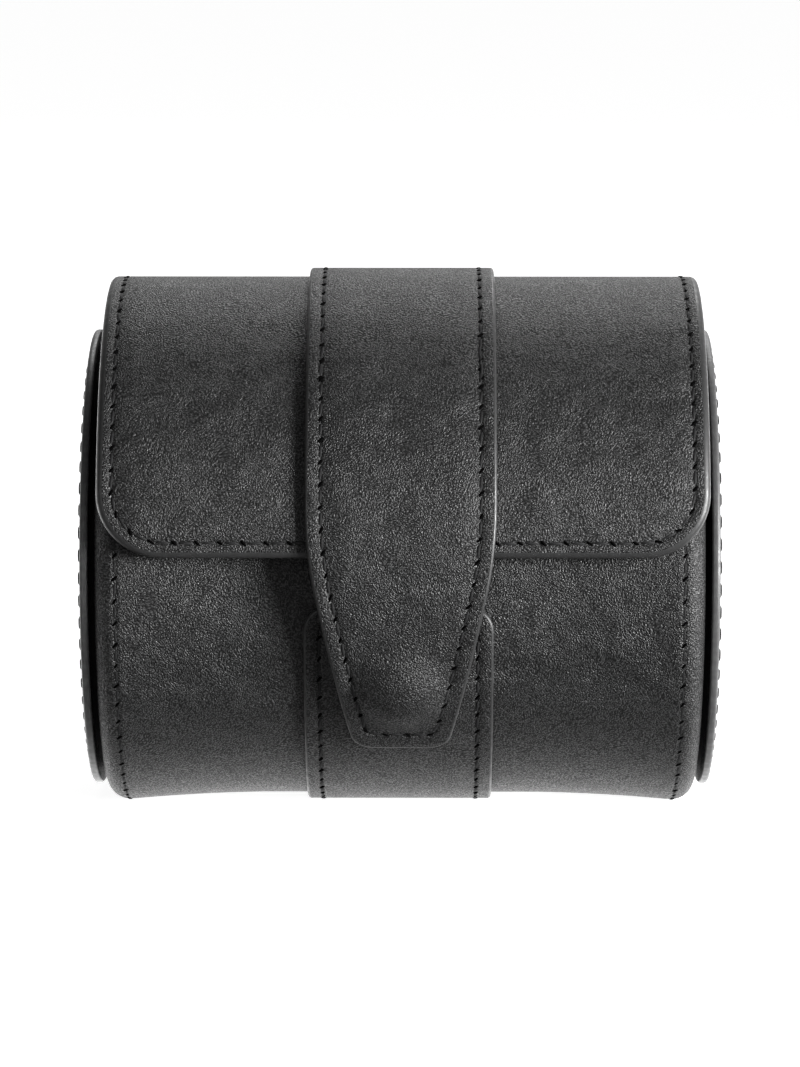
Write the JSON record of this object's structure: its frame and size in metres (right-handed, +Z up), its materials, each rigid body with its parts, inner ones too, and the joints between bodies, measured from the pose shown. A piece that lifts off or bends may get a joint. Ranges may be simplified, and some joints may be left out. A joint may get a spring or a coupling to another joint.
{
  "type": "watch travel case",
  "caption": "Cylindrical leather case with a hinged lid panel, a strap that closes magnetically and a loose cushion for carrying a wristwatch.",
  "frame": {"origin": "centre of the flat underside that the case rests on, below the middle of the tube", "axes": "+X along the tube to the right, +Y from the tongue to the hinge, +Z up out of the window"},
  "size_m": [0.0982, 0.0831, 0.0854],
  "materials": {
    "leather": "smooth black leather with a fine grain and a low sheen",
    "suede": "charcoal suede",
    "felt": "matt black",
    "board": "plain pressed board",
    "foam": "soft foam",
    "magnet": "nickel plated"
  },
  "bodies": {
    "case": {"case_leather": "leather", "case_board": "board", "case_lining": "suede", "end_lining_left": "suede", "end_board_left": "board", "end_spacer_left": "felt", "end_panel_board_left": "board", "end_panel_left": "leather", "end_lining_right": "suede", "end_board_right": "board", "end_spacer_right": "felt", "end_panel_board_right": "board", "end_panel_right": "leather", "catch_strap": "leather", "catch_magnet": "magnet", "hinge_leather": "leather", "hinge_strap": "leather"},
    "lid": {"lid_leather": "leather", "lid_board": "board", "lid_lining": "suede", "lid_strap": "leather"},
    "tongue": {"tongue_face": "leather", "tongue_backing": "leather", "tongue_magnet": "magnet"},
    "cushion": {"cushion_core": "foam", "cushion_cover": "suede", "cushion_cap_left": "suede", "cushion_cap_right": "suede"}
  },
  "joints": [
    {"name": "lid_hinge", "type": "hinge", "parent": "case", "child": "lid", "pos_m": [0, 0.03268, 0.06314], "axis": [-1, 0, 0], "range_deg": [0, 130], "deforming": ["hinge_leather", "hinge_strap"]},
    {"name": "tongue_flex", "type": "hinge", "parent": "lid", "child": "tongue", "pos_m": [0, -0.0309, 0.0731], "axis": [-1, 0, 0], "range_deg": [0, 70], "stiffness_Nm_per_rad": 0.003},
    {"name": "cushion_turn", "type": "hinge", "parent": "case", "child": "cushion", "pos_m": [0, 0, 0.03105], "axis": [1, 0, 0], "continuous": true}
  ]
}
